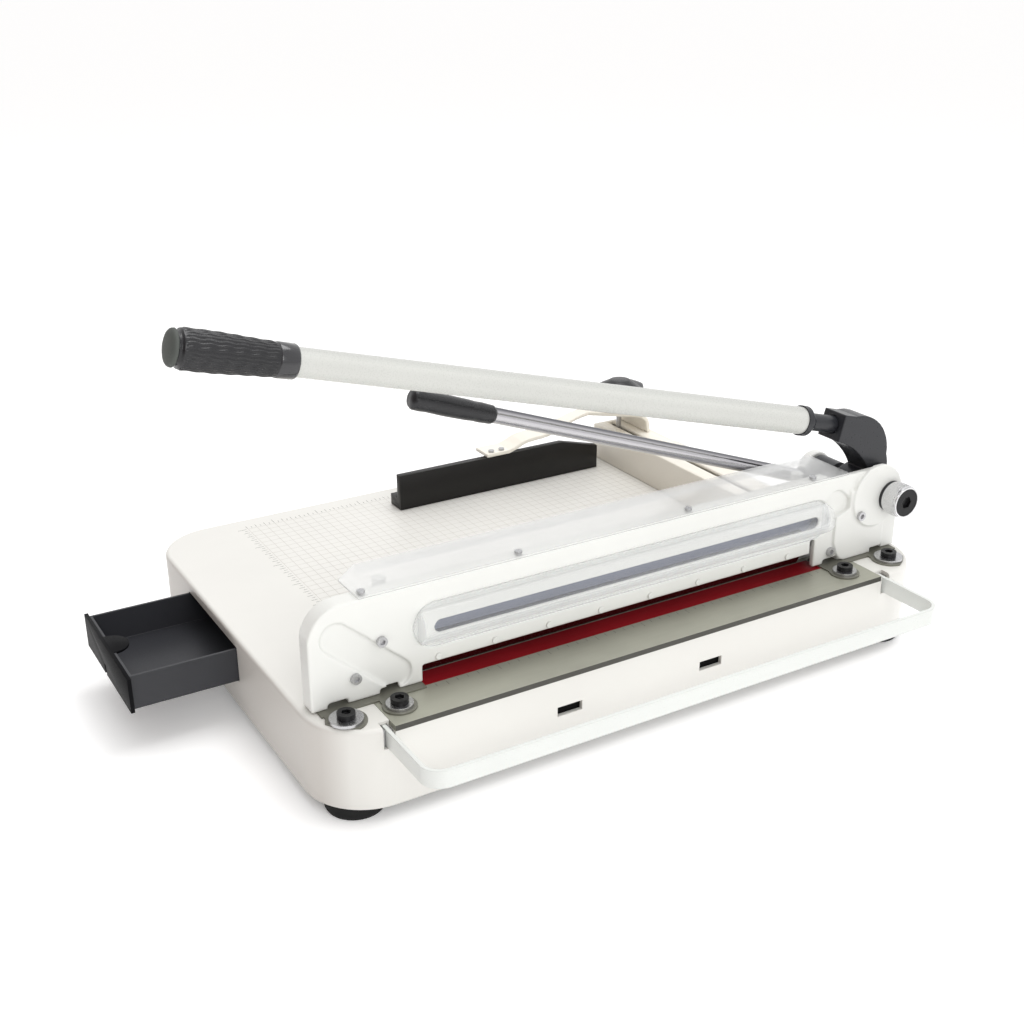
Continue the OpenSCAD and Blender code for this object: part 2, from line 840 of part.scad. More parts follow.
// ---- rear bracket and guard ----

module rear_bracket() {
  color(paint)
    difference() {
      union() {
        xz(front_y + 131, 10)
          union() {
            translate([pivot_x - 18, table_z]) square([36, 63]);
            translate([pivot_x, pivot_z]) circle(r = 18);
          }
        box([pivot_x - 18, front_y + 131, table_z], [pivot_x + 18, front_y + 165, table_z + 8]);
        yz(pivot_x - 4, 8)
          polygon([
            [front_y + 140, table_z + 7],
            [front_y + 162, table_z + 7],
            [front_y + 140, table_z + 42]
          ]);
      }
      rod_y(pivot_x, pivot_z, front_y + 130, front_y + 142, 8.02);
      for (p = bracket_xy)
        translate([p[0], p[1], table_z - 1]) cylinder(r = 3.2, h = 12);
    }
}

module bracket_bolts() {
  color([0.12, 0.12, 0.12])
    for (p = bracket_xy)
      translate([p[0], p[1], table_z])
        difference() {
          union() {
            translate([0, 0, 8]) cylinder(r = 5, h = 5);
            translate([0, 0, -16]) cylinder(r = 2.95, h = 25);
          }
          translate([0, 0, 10]) cylinder(r = 2.6, h = 4, $fn = 6);
        }
}

module rear_guard() {
  top = table_z + plate_h;
  color([0.82, 0.90, 0.95, 0.35])
    difference() {
      union() {
        translate([0, 0, top])
          linear_extrude(2)
            polygon([
              [-272, plate_y + 1],
              [250, plate_y + 1],
              [250, front_y + 108],
              [-250, front_y + 108],
              [-272, front_y + 88]
            ]);
        box([-249, front_y + 106, top - 7], [249, front_y + 108, top + 1]);
      }
      for (x = guard_x)
        translate([x, plate_y + 9, top - 1]) cylinder(r = 1.8, h = 4);
    }
}

module guard_screws() {
  top = table_z + plate_h;
  color(steel)
    for (x = guard_x)
      translate([x, plate_y + 9, top])
        union() {
          translate([0, 0, 2]) cylinder(r = 3.4, h = 1.8);
          translate([0, 0, -9]) cylinder(r = 1.55, h = 12);
        }
}

// ---- fence and back gauge ----

module side_fence() {
  color([0.84, 0.78, 0.68])
    difference() {
      box([fence_x, front_y + 112, table_z], [fence_x + fence_w, 196, table_z + fence_h]);
      box([fence_x + 4, front_y + 116, table_z - 1],
          [fence_x + fence_w - 4, 192, table_z + fence_h - 5]);
      box([fence_x + 17, front_y + 150, table_z + fence_h - 6],
          [fence_x + 24, 188, table_z + fence_h + 1]);
    }
}

module gauge_bar() {
  x1 = 186;
  x0 = x1 - gauge_l;
  z0 = table_z + 0.5;
  color([0.09, 0.09, 0.09])
    difference() {
      union() {
        xz(gauge_y, 8)
          polygon([
            [x0, z0],
            [x1, z0],
            [x1, z0 + 27],
            [x1 - 48, z0 + 39.5],
            [x0, z0 + 39.5]
          ]);
        box([x0, gauge_y, z0], [x1, gauge_y + 24, z0 + 12]);
      }
      for (x = gauge_sx)
        translate([x, gauge_y + 4, z0 + 28]) cylinder(r = 1.7, h = 14);
    }
}

// casting that joins the gauge bar to a hood over the fence
module gauge_carriage() {
  z0 = table_z + 0.2;
  color([0.88, 0.83, 0.74])
    difference() {
      intersection() {
        translate([0, 0, z0])
          xz(gauge_y - 27, 60) polygon(concat(arch_top, arch_under));
        translate([0, 0, table_z + 30])
          linear_extrude(50)
            polygon([
              [37, gauge_y - 1],
              [120, gauge_y - 1],
              [150, gauge_y + 7],
              [182, gauge_y + 13],
              [231, gauge_y - 26],
              [244, gauge_y - 26],
              [244, gauge_y + 30],
              [178, gauge_y + 30],
              [150, gauge_y + 26],
              [37, gauge_y + 26]
            ]);
      }
      translate([fence_x + 20.5, gauge_y + 12, z0 + 30]) cylinder(r = 3.05, h = 60);
      for (x = gauge_sx)
        translate([x, gauge_y + 4, z0 + 30]) cylinder(r = 1.8, h = 20);
    }
}

module gauge_knob() {
  color([0.07, 0.07, 0.07])
    translate([fence_x + 20.5, gauge_y + 12, table_z + 65.4])
      difference() {
        union() {
          cylinder(r = 9, h = 10);
          for (i = [0:4])
            translate([25 * cos(72 * i), 25 * sin(72 * i), 9]) cylinder(r = 7.5, h = 16);
          translate([0, 0, 9]) cylinder(r = 26, h = 16);
          translate([0, 0, 25]) cylinder(r1 = 26, r2 = 15, h = 6);
          translate([0, 0, 31]) cylinder(r1 = 15, r2 = 11, h = 2);
        }
        translate([0, 0, -1]) cylinder(r = 3.06, h = 25);
      }
}

module gauge_nut() {
  x = fence_x + 20.5;
  color(steel) union() {
    translate([x, gauge_y + 12, table_z + fence_h - 11.5]) cylinder(r = 3, h = 58);
    box([x - 8.5, gauge_y + 4, table_z + fence_h - 11.5],
        [x + 8.5, gauge_y + 20, table_z + fence_h - 5.4]);
  }
}

module gauge_screws() {
  color(steel)
    for (x = gauge_sx)
      translate([x, gauge_y + 4, table_z])
        union() {
          translate([0, 0, 44.6]) cylinder(r = 3.3, h = 2.2);
          translate([0, 0, 30]) cylinder(r = 1.65, h = 16);
        }
}

// ---- shared positions ----

guide_l = [-267.4, table_z + 37.2];
guide_r = tp(18, 50);
bolt_xy = [[-297.5, front_y + 26], [-251, front_y + 25], [231, front_y + 24], [291, front_y + 25.5]];
foot_x = [-313, 221];
bracket_xy = [[pivot_x - 11, front_y + 155], [pivot_x + 11, front_y + 155]];
post_x = [-236, 219];
post_y = front_y + 88;
screw_xz = [[-254.4, table_z + 49.9], [-278.5, table_z + 22.7], [232.4, table_z + 13.7],
            [265, table_z + 46.4]];
guard_x = [-266, -120, 60, 210];
gauge_sx = [46, 59];
arch_top = [[38, 44.4], [66, 44.4], [76, 47.5], [84, 51], [93, 53], [112, 54.2], [130, 56.5], [148, 60.5],
            [163, 63.5], [178, 65], [226, 65], [235, 62.5], [240.5, 57], [242.5, 48], [243, 41.2]];
arch_under = [[238.5, 41.2], [238, 47.5], [236.5, 54.5], [232.5, 58.8], [225, 60.6], [178, 60.6],
              [162, 59.1], [146, 56.1], [129, 52.2], [112, 49.8], [93, 48.6], [85, 46.8], [78, 43.5],
              [67, 40], [38, 40]];
pin_xz = tp(-crank_r * sin(30), crank_r * cos(30));
clamp_pin_z = pivot_z - clamp_r * sin(25);
clamp_pin_xz = [pivot_x - clamp_r * cos(25), clamp_pin_z];

// a point of the cutting lever's axis, by its X
function on_lever(x) = [x, pivot_z + 84.6 - (x - 204.9) * tan(lever_slope)];

// a point of the clamp lever's axis, by its distance from the hub
function clamp_at(d) = [pivot_x - 25 - d * cos(clamp_slope), pivot_z - 0.7 + d * sin(clamp_slope)];

// ---- assembly ----

// puts the origin under the middle of the whole cutter, drawer and bar out
module placed() {
  translate([shift_x, shift_y, 0]) children();
}

placed() base_shell();
placed() feet();
placed() foot_screws();
placed() bed_plate();
placed() cutting_stick();
placed() drawer_box();
placed() drawer_front();
placed() drawer_runners();
placed() front_bar();
placed() front_bar_guides();
placed() front_plate();
placed() plate_feet();
placed() hold_down_bolts();
placed() hold_down_washers();
placed() window();
placed() window_screws();
placed() housing_screws();
placed() slide_rails();
placed() slide_blocks();
placed() blade_carrier();
placed() blade();
placed() blade_bolts();
placed() pivot_shaft();
placed() shaft_spacers();
placed() lever_elbow();
placed() crank_pin();
placed() lever_collar();
placed() lever_tube();
placed() lever_grip();
placed() grip_cap();
placed() lock_bush();
placed() lock_pin();
placed() lock_knob();
placed() lock_cap();
placed() clamp_beam();
placed() clamp_posts();
placed() clamp_hub();
placed() clamp_pin();
placed() clamp_rod();
placed() clamp_grip();
placed() rear_bracket();
placed() bracket_bolts();
placed() rear_guard();
placed() guard_screws();
placed() side_fence();
placed() gauge_bar();
placed() gauge_carriage();
placed() gauge_knob();
placed() gauge_nut();
placed() gauge_screws();
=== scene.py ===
"""Guillotine paper cutter: looks and small details on the CAD's nodes.

Places and sizes are millimetres from the middle of the base on the floor, as in the CAD, unless a
comment says metres; at() turns them into the frame's metres.
"""

import json
import math

import bmesh
import bpy
from mathutils import Matrix, Vector


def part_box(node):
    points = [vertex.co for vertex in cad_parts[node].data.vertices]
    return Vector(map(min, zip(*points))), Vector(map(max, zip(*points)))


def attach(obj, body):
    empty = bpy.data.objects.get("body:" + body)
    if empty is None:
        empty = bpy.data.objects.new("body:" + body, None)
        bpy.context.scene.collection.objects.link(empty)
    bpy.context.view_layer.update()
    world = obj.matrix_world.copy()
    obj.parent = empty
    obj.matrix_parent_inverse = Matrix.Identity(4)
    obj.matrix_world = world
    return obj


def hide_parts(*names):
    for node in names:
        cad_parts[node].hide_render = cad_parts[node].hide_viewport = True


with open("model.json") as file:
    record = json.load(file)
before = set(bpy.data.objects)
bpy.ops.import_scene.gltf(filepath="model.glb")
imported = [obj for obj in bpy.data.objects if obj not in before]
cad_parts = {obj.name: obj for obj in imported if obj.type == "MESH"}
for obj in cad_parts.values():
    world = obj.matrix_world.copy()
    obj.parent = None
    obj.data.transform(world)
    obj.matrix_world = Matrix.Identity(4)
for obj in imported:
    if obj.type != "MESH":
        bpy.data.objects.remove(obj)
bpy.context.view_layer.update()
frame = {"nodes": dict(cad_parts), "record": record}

# base
BASE_LOW, BASE_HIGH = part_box("base_shell")
BASE = Vector(((BASE_LOW.x + BASE_HIGH.x) / 2, (BASE_LOW.y + BASE_HIGH.y) / 2, 0))
TABLE_Z = BASE_HIGH.z * 1000
FRONT_Y = (BASE_LOW.y - BASE.y) * 1000
WALL = 4
SLOTS_X = (-103, 49)

# cutting lever: a point on its axis, how steeply it goes down to the right, and its plane
LEVER_X, LEVER_Z = 204.9, 232.6
LEVER_SLOPE = math.radians(15.1)
LEVER_Y = -155.5
CAP_X = -396.4
GRIP_X0, GRIP_X1 = -390.4, -302.5

# clamp lever: the middle of its hub, its slope and plane, and how far from the hub the grip ends
HUB_X, HUB_Z = 262.0, 147.3
CLAMP_SLOPE = math.radians(19.8)
CLAMP_Y = -110
CLAMP_REACH = 476

# back gauge's knob: its axis, its height over the table, and its lobes
KNOB_X, KNOB_Y, KNOB_RISE = 224.5, 173.0, 65.4
LOBES, LOBE_DEPTH = 5, 3.0


def at(x, y, z):
    return BASE + Vector((x, y, z)) / 1000


# ---- camera, floor and light ----

CAMERA_PLACE = (-646.1, -1050.5, 649.7)
CAMERA_WAY = (0.46854, 0.79249, -0.39041)
CAMERA_ROLL = math.radians(0.24)
LENS, SENSOR = 46.88, 36

# The room is darker on the left: how dark, and where the shade ends and full light starts, on a
# scale from 0 for light that comes from -X to 1 for light that comes from +X.
SHADE = (0.26, 0.22, 0.20)
SHADY_TO = 0.12
BRIGHT_FROM = 0.42
SKY_STRENGTH = 1.02
WHITE_LIGHT = (1, 1, 1, 1)

# half the floor's width in metres, and how much light it gives off
FLOOR_HALF = 30
FLOOR_GLOW = 0.16

# sockets of the colour mix node
MIX_FACTOR, MIX_A, MIX_B, MIX_RESULT = 0, 6, 7, 2


def camera():
    data = bpy.data.cameras.new("camera")
    data.lens = LENS
    data.sensor_width = SENSOR
    cam = bpy.data.objects.new("camera", data)
    bpy.context.collection.objects.link(cam)
    forward = Vector(CAMERA_WAY).normalized()
    level = forward.cross(Vector((0, 0, 1))).normalized()
    right = Matrix.Rotation(CAMERA_ROLL, 3, forward) @ level
    up = right.cross(forward)
    turn = Matrix((right, up, -forward)).transposed().to_4x4()
    cam.matrix_world = Matrix.Translation(at(*CAMERA_PLACE)) @ turn
    bpy.context.scene.camera = cam


def area_light(name, place, aim, size, power):
    """A rectangular lamp; place, aim and size in metres, power in watts."""
    data = bpy.data.lights.new(name, "AREA")
    data.shape = "RECTANGLE"
    data.size, data.size_y = size
    data.energy = power
    lamp = bpy.data.objects.new(name, data)
    bpy.context.collection.objects.link(lamp)
    lamp.location = place
    lamp.rotation_euler = (Vector(aim) - Vector(place)).to_track_quat("-Z", "Y").to_euler()


def sky():
    """Light from all round, darker from -X; the camera itself sees plain white."""
    world = bpy.data.worlds.new("studio")
    bpy.context.scene.world = world
    world.use_nodes = True
    nodes = world.node_tree.nodes
    link = world.node_tree.links.new
    split = nodes.new("ShaderNodeSeparateXYZ")
    link(nodes.new("ShaderNodeTexCoord").outputs["Generated"], split.inputs[0])
    span = nodes.new("ShaderNodeMapRange")
    span.inputs["From Min"].default_value = -1.0
    link(split.outputs["X"], span.inputs["Value"])
    ramp = nodes.new("ShaderNodeValToRGB")
    link(span.outputs[0], ramp.inputs[0])
    shady, bright = ramp.color_ramp.elements
    shady.position = SHADY_TO
    shady.color = (*SHADE, 1)
    bright.position = BRIGHT_FROM
    bright.color = WHITE_LIGHT
    plain = nodes.new("ShaderNodeMix")
    plain.data_type = "RGBA"
    link(nodes.new("ShaderNodeLightPath").outputs["Is Camera Ray"], plain.inputs[MIX_FACTOR])
    link(ramp.outputs[0], plain.inputs[MIX_A])
    plain.inputs[MIX_B].default_value = WHITE_LIGHT
    background = nodes["Background"]
    link(plain.outputs[MIX_RESULT], background.inputs["Color"])
    background.inputs["Strength"].default_value = SKY_STRENGTH


def studio():
    bpy.context.scene.view_settings.view_transform = "Standard"
    sky()
    area_light("key", place=(-0.5, -2.0, 1.3), aim=(-0.1, 0, 0.1), size=(1.2, 0.9), power=11)
    area_light("top", place=(0.3, 0.2, 2.2), aim=(0, 0, 0.1), size=(1.4, 1.2), power=19)


def floor():
    far = FLOOR_HALF
    corners = [(-far, -far, 0), (far, -far, 0), (far, far, 0), (-far, far, 0)]
    mesh = bpy.data.meshes.new("floor")
    mesh.from_pydata(corners, [], [(0, 1, 2, 3)])
    plane = bpy.data.objects.new("floor", mesh)
    bpy.context.collection.objects.link(plane)
    white = finish("floor", (0.97, 0.97, 0.97), 0.9, spot=0.004, grain=80, bump=0.05, edge=0)
    glow = principled(white)
    glow.inputs["Emission Color"].default_value = WHITE_LIGHT
    glow.inputs["Emission Strength"].default_value = FLOOR_GLOW
    mesh.materials.append(white)


# ---- materials ----


def principled(material):
    return next(n for n in material.node_tree.nodes if n.type == "BSDF_PRINCIPLED")


def shade(color, k):
    return (*(min(1.0, max(0.0, c * k)) for c in color), 1.0)


class Graph:
    """A small helper for wiring one material's nodes."""

    def __init__(self, name):
        self.mat = bpy.data.materials.new(name)
        self.mat.use_nodes = True
        self.tree = self.mat.node_tree
        self.shader = principled(self.mat)

    def add(self, kind, links=(), **settings):
        node = self.tree.nodes.new(kind)
        for key, value in settings.items():
            setattr(node, key, value)
        for socket, value in dict(links).items():
            self.feed(node.inputs[socket], value)
        return node

    def feed(self, socket, value):
        if isinstance(value, bpy.types.NodeSocket):
            self.tree.links.new(value, socket)
        else:
            socket.default_value = value

    def noise(self, scale, stretch=(1, 1, 1), detail=3.0):
        place = self.add("ShaderNodeTexCoord").outputs["Object"]
        sized = self.add("ShaderNodeMapping", {0: place, "Scale": stretch}).outputs[0]
        links = {"Vector": sized, "Scale": scale, "Detail": detail}
        return self.add("ShaderNodeTexNoise", links).outputs[0]

    def remap(self, value, lo, hi, a=0.3, b=0.7):
        """From lo to hi as value goes from a to b."""
        links = {0: value, "From Min": a, "From Max": b, "To Min": lo, "To Max": hi}
        return self.add("ShaderNodeMapRange", links).outputs[0]

    def mix(self, factor, one, two):
        node = self.add("ShaderNodeMix", data_type="RGBA")
        self.feed(node.inputs[MIX_FACTOR], factor)
        self.feed(node.inputs[MIX_A], one)
        self.feed(node.inputs[MIX_B], two)
        return node.outputs[MIX_RESULT]

    def dot(self, one, two):
        node = self.add("ShaderNodeVectorMath", {0: one, 1: two}, operation="DOT_PRODUCT")
        return node.outputs["Value"]

    def flat(self):
        return self.add("ShaderNodeNewGeometry").outputs["Normal"]

    def worn_edge(self, round_edge, width):
        """Patches of 1 along sharp edges, 0 on flats."""
        mask = self.remap(self.dot(round_edge, self.flat()), 1.0, 0.0, 1.0 - width, 0.999)
        patches = self.remap(self.noise(160.0), 0.0, 0.9)
        return self.add("ShaderNodeMath", {0: mask, 1: patches}, operation="MULTIPLY").outputs[0]

    def facing(self, axis):
        """1 where the surface faces along one of the frame's axes, 0 where it is turned from it."""
        return self.remap(self.dot(self.flat(), axis), 0.0, 1.0, 0.6, 0.9)


def finish(name, color, rough, metal=0.0, spot=0.05, grain=900.0, bump=0.02, edge=0.6, rub=None,
           streak=(1, 1, 1), coat=0.0, rough_spread=0.08, painted_side=None, shine=0.5):
    """A procedural finish.

    bump is the grain's height and edge the rounding of sharp edges. rub is the colour of worn edges.
    The side pair (axis, colour) is painted light: painted shade, or for chrome a painted reflection, on the
    faces that look along that axis of the frame in any pose.
    """
    g = Graph(name)
    inputs = g.shader.inputs
    broad = g.noise(9.0, detail=4.0)
    fine = g.noise(grain, streak)
    base = g.mix(g.remap(broad, 0.0, 1.0), shade(color, 1 - spot), shade(color, 1 + spot))
    relief = {"Height": fine, "Distance": bump / 1000, "Strength": 0.6}
    # painted shade, or a painted reflection, on the faces that look along one axis
    if painted_side:
        axis, painted_side_color = painted_side
        base = g.mix(g.facing(axis), base, (*painted_side_color, 1.0))
    if edge:
        relief["Normal"] = g.add("ShaderNodeBevel", {"Radius": edge / 1000}, samples=6).outputs[0]
    if edge and rub:
        base = g.mix(g.worn_edge(relief["Normal"], 0.25), base, (*rub, 1.0))
    g.feed(inputs["Base Color"], base)
    g.feed(inputs["Roughness"], g.remap(fine, rough - rough_spread, rough + rough_spread))
    g.feed(inputs["Normal"], g.add("ShaderNodeBump", relief).outputs[0])
    inputs["Metallic"].default_value = metal
    inputs["Specular IOR Level"].default_value = shine
    inputs["Coat Weight"].default_value = coat
    inputs["Coat Roughness"].default_value = 0.15
    return g.mat


def clear(name, color, flat, grazing, rough, ripple=0.3):
    """Clear moulded sheet; its opacity is flat when seen straight on, grazing at a shallow angle."""
    g = Graph(name)
    inputs = g.shader.inputs
    haze = g.noise(30.0, (1, 3, 1))
    g.feed(inputs["Base Color"], g.mix(haze, shade(color, 0.96), shade(color, 1.03)))
    g.feed(inputs["Roughness"], g.remap(haze, rough - 0.02, rough + 0.04))
    wave = g.add("ShaderNodeBump", {"Height": g.noise(14.0), "Distance": 0.0004, "Strength": ripple})
    g.feed(inputs["Normal"], wave.outputs[0])
    rim = g.add("ShaderNodeLayerWeight", {"Blend": 0.5}).outputs["Facing"]
    g.feed(inputs["Alpha"], g.remap(rim, flat, grazing, 0.25, 1.0))
    inputs["Specular IOR Level"].default_value = 1.0
    inputs["Coat Weight"].default_value = 0.5
    inputs["Coat Roughness"].default_value = 0.03
    return g.mat


LEFT, FRONT, TOP = (-1, 0, 0), (0, -1, 0), (0, 0, 1)

PAINTS = {
    # the shell's faces towards -X are darker: painted shade on the base's left wall
    "shell_paint": dict(color=(0.735, 0.725, 0.69), rough=0.42, spot=0.02, grain=1100, bump=0.035,
                        edge=0.9, coat=0.1, painted_side=(LEFT, (0.60, 0.575, 0.54))),
    "housing_paint": dict(color=(0.79, 0.795, 0.765), rough=0.36, spot=0.02, bump=0.03, edge=1.2,
                          coat=0.15),
    "bar_paint": dict(color=(0.72, 0.74, 0.715), rough=0.34, spot=0.02, bump=0.03, edge=0.8, coat=0.15),
    # the tube's upward faces are darker: painted shade along its top
    "tube_paint": dict(color=(0.58, 0.585, 0.555), rough=0.30, spot=0.02, edge=0.4, coat=0.2,
                       painted_side=(TOP, (0.47, 0.475, 0.45))),
    "black_paint": dict(color=(0.020, 0.021, 0.025), rough=0.34, spot=0.15, grain=500, bump=0.08,
                        edge=1.0, rub=(0.10, 0.10, 0.11), coat=0.12, shine=0.35),
    "carrier_paint": dict(color=(0.20, 0.225, 0.33), rough=0.40, spot=0.08, bump=0.03, edge=0.5),
    # lighter than the shell's cream: painted light that makes up for the shade on the fence
    "fence_paint": dict(color=(0.88, 0.84, 0.75), rough=0.42, spot=0.03, bump=0.04, edge=1.0, coat=0.1),
    "gauge_paint": dict(color=(0.012, 0.011, 0.010), rough=0.40, spot=0.15, grain=1000, bump=0.03,
                        edge=0.7, rub=(0.09, 0.085, 0.08), shine=0.25),
}

METALS = {
    "steel": dict(color=(0.50, 0.50, 0.51), rough=0.30, metal=1.0, streak=(1, 1, 30), bump=0.01, edge=0.3),
    "dark_steel": dict(color=(0.13, 0.13, 0.135), rough=0.36, metal=1.0, edge=0.3),
    "black_steel": dict(color=(0.010, 0.010, 0.011), rough=0.36, metal=0.2, edge=0.5,
                        rub=(0.10, 0.10, 0.10), shine=0.3),
    # the bed's faces towards -Y are near black: painted shade of the gap along the bed's front edge
    "bed_steel": dict(color=(0.36, 0.36, 0.30), rough=0.36, metal=0.3, spot=0.10, grain=350, bump=0.03,
                      edge=0.4, streak=(0.15, 1, 1), rub=(0.36, 0.35, 0.30),
                      painted_side=(FRONT, (0.06, 0.058, 0.05))),
    "foot_plate": dict(color=(0.17, 0.168, 0.14), rough=0.40, metal=0.3, spot=0.15, grain=350, bump=0.03,
                       edge=0.3),
    # darker than bare steel: painted shade of the opening under the housing
    "blade_steel": dict(color=(0.20, 0.19, 0.19), rough=0.22, metal=1.0, streak=(1, 1, 0.1), grain=1500,
                        bump=0.01, edge=0.1),
    "bronze": dict(color=(0.55, 0.38, 0.18), rough=0.35, metal=1.0, edge=0.3),
    # the chrome's upward faces are near black: painted reflection of the dark lever above the rods
    "chrome": dict(color=(0.52, 0.51, 0.53), rough=0.14, metal=1.0, spot=0.02, bump=0.004, edge=0.3,
                   rough_spread=0.04, painted_side=(TOP, (0.07, 0.07, 0.085))),
    "knurled_chrome": dict(color=(0.72, 0.72, 0.73), rough=0.22, metal=1.0, bump=0.01, edge=0.3),
    "clamp_alu": dict(color=(0.36, 0.37, 0.38), rough=0.36, metal=0.9, streak=(0.1, 1, 1), edge=0.4),
}

PLASTICS = {
    "rubber": dict(color=(0.012, 0.012, 0.012), rough=0.7, spot=0.2, grain=1400, bump=0.05, shine=0.2),
    "grip_plastic": dict(color=(0.010, 0.010, 0.012), rough=0.30, spot=0.12, grain=1600, edge=0),
    "grip_sleeve": dict(color=(0.015, 0.015, 0.018), rough=0.22, spot=0.1, grain=1600, bump=0.01,
                        edge=0.3, coat=0.6),
    "cap_plastic": dict(color=(0.085, 0.092, 0.085), rough=0.6, spot=0.08, grain=700, bump=0.05, shine=0.2),
    "red_stick": dict(color=(0.23, 0.004, 0.009), rough=0.36, spot=0.18, grain=300, streak=(0.1, 1, 1),
                      bump=0.06, edge=0.3, shine=0.3),
    "drawer_plastic": dict(color=(0.028, 0.029, 0.034), rough=0.42, spot=0.15, grain=1300, bump=0.06,
                           edge=0.8, rub=(0.07, 0.07, 0.075), shine=0.4),
    "drawer_face": dict(color=(0.006, 0.006, 0.007), rough=0.5, spot=0.15, grain=1300, bump=0.06,
                        edge=0.8, rub=(0.05, 0.05, 0.055), shine=0.05),
    # near black: painted shade inside the slots in the base's front
    "slot_painted_shade": dict(color=(0.004, 0.004, 0.004), rough=0.6, spot=0.1, edge=0.3, shine=0.05),
}

INKS = {
    "grid_ink": dict(color=(0.55, 0.53, 0.49), rough=0.5, bump=0.0, edge=0),
    "tick_ink": dict(color=(0.12, 0.115, 0.10), rough=0.5, bump=0.0, edge=0),
}

CLEARS = {
    "window_plastic": dict(color=(0.93, 0.95, 0.97), flat=0.10, grazing=0.75, rough=0.05),
    "guard_plastic": dict(color=(0.86, 0.87, 0.865), flat=0.28, grazing=0.50, rough=0.20, ripple=0.02),
}

# A node has the look named as its slot, apart from these nodes and slots.
NODE_LOOKS = {
    "rear_guard": "guard_plastic", "grip_cap": "cap_plastic", "lever_tube": "tube_paint",
    "drawer_front": "drawer_face", "window_screws": "housing_paint", "clamp_posts": "housing_paint",
    "housing_screws": "steel", "plate_feet": "foot_plate", "lock_knob": "knurled_chrome",
}
SLOT_LOOKS = {"clear": "window_plastic", "knob_plastic": "grip_plastic"}


def all_looks():
    looks = {}
    for name, values in (PAINTS | METALS | PLASTICS | INKS).items():
        looks[name] = finish(name, **values)
    for name, values in CLEARS.items():
        looks[name] = clear(name, **values)
    return looks


def body_of(node):
    bodies = frame["record"]["behaviour"]["bodies"]
    return next(name for name, nodes in bodies.items() if node in nodes)


def slot_of(node):
    return next(p["material_slot"] for p in frame["record"]["subparts"] if p["node"] == node)


def look_of(node):
    slot = slot_of(node)
    return LOOKS[NODE_LOOKS.get(node, SLOT_LOOKS.get(slot, slot))]


def paint_nodes():
    for part in frame["record"]["subparts"]:
        materials = frame["nodes"][part["node"]].data.materials
        materials.clear()
        materials.append(look_of(part["node"]))


# ---- mesh helpers ----


def piece(name, mesh, body, look, node=None, smooth=True):
    """An object that rides on a body, in place of a node if one is named."""
    obj = bpy.data.objects.new(name, mesh)
    bpy.context.collection.objects.link(obj)
    mesh.materials.clear()
    mesh.materials.append(look)
    if smooth:
        mesh.shade_smooth()
    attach(obj, body)
    if node:
        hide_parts(node)


def stand_in(node, name, mesh, smooth=True):
    """A piece in place of a node, with the node's own body, slot and look."""
    piece(name, mesh, body_of(node), look_of(node), node, smooth)


def work_copy(node):
    source = bpy.data.objects.new(node + ".work", frame["nodes"][node].data.copy())
    bpy.context.collection.objects.link(source)
    return source


def shaped(source):
    """The mesh of a work copy with its modifiers; the work copy goes."""
    bpy.context.view_layer.update()
    evaluated = source.evaluated_get(bpy.context.evaluated_depsgraph_get())
    mesh = bpy.data.meshes.new_from_object(evaluated)
    bpy.data.objects.remove(source)
    return mesh


def cast_copy(node, name, cell, passes):
    """The node with the soft edges of a painted casting."""
    source = work_copy(node)
    remesh = source.modifiers.new("cells", "REMESH")
    remesh.mode = "VOXEL"
    remesh.voxel_size = cell / 1000
    soften = source.modifiers.new("soften", "SMOOTH")
    soften.factor = 0.5
    soften.iterations = passes
    stand_in(node, name, shaped(source))


def bevelled_copy(node, name, width):
    """The node with its sharp edges rounded."""
    source = work_copy(node)
    shape = bmesh.new()
    shape.from_mesh(source.data)
    bmesh.ops.remove_doubles(shape, verts=shape.verts, dist=1e-6)
    bmesh.ops.dissolve_limit(shape, angle_limit=math.radians(0.5), verts=shape.verts, edges=shape.edges)
    shape.to_mesh(source.data)
    shape.free()
    bevel = source.modifiers.new("round", "BEVEL")
    bevel.width = width / 1000
    bevel.segments = 3
    bevel.limit_method = "ANGLE"
    bevel.angle_limit = math.radians(50)
    bevel.harden_normals = True
    mesh = shaped(source)
    stand_in(node, name, mesh, smooth=False)
    for face in mesh.polygons:
        face.use_smooth = True


def surface_through(rings, name):
    """A closed mesh through rings of points, with a fan over each end."""
    mesh = bpy.data.meshes.new(name)
    shape = bmesh.new()
    rows = [[shape.verts.new(p) for p in ring] for ring in rings]
    count = len(rows[0])
    for low, high in zip(rows, rows[1:]):
        for i in range(count):
            j = (i + 1) % count
            shape.faces.new((low[i], low[j], high[j], high[i]))
    for row in (rows[0], rows[-1]):
        middle = shape.verts.new(sum((v.co for v in row), Vector()) / count)
        for i in range(count):
            shape.faces.new((row[i], row[(i + 1) % count], middle))
    bmesh.ops.recalc_face_normals(shape, faces=shape.faces)
    shape.to_mesh(mesh)
    shape.free()
    return mesh


def boxes(name, corners, look):
    """Many small boxes on the base in one mesh, each by its two corners."""
    mesh = bpy.data.meshes.new(name)
    shape = bmesh.new()
    for a, b in corners:
        low, high = at(*a), at(*b)
        for v in bmesh.ops.create_cube(shape, size=1.0)["verts"]:
            v.co = Vector((low[i] if v.co[i] < 0 else high[i]) for i in range(3))
    bmesh.ops.recalc_face_normals(shape, faces=shape.faces)
    shape.to_mesh(mesh)
    shape.free()
    piece(name, mesh, "base", look, smooth=False)


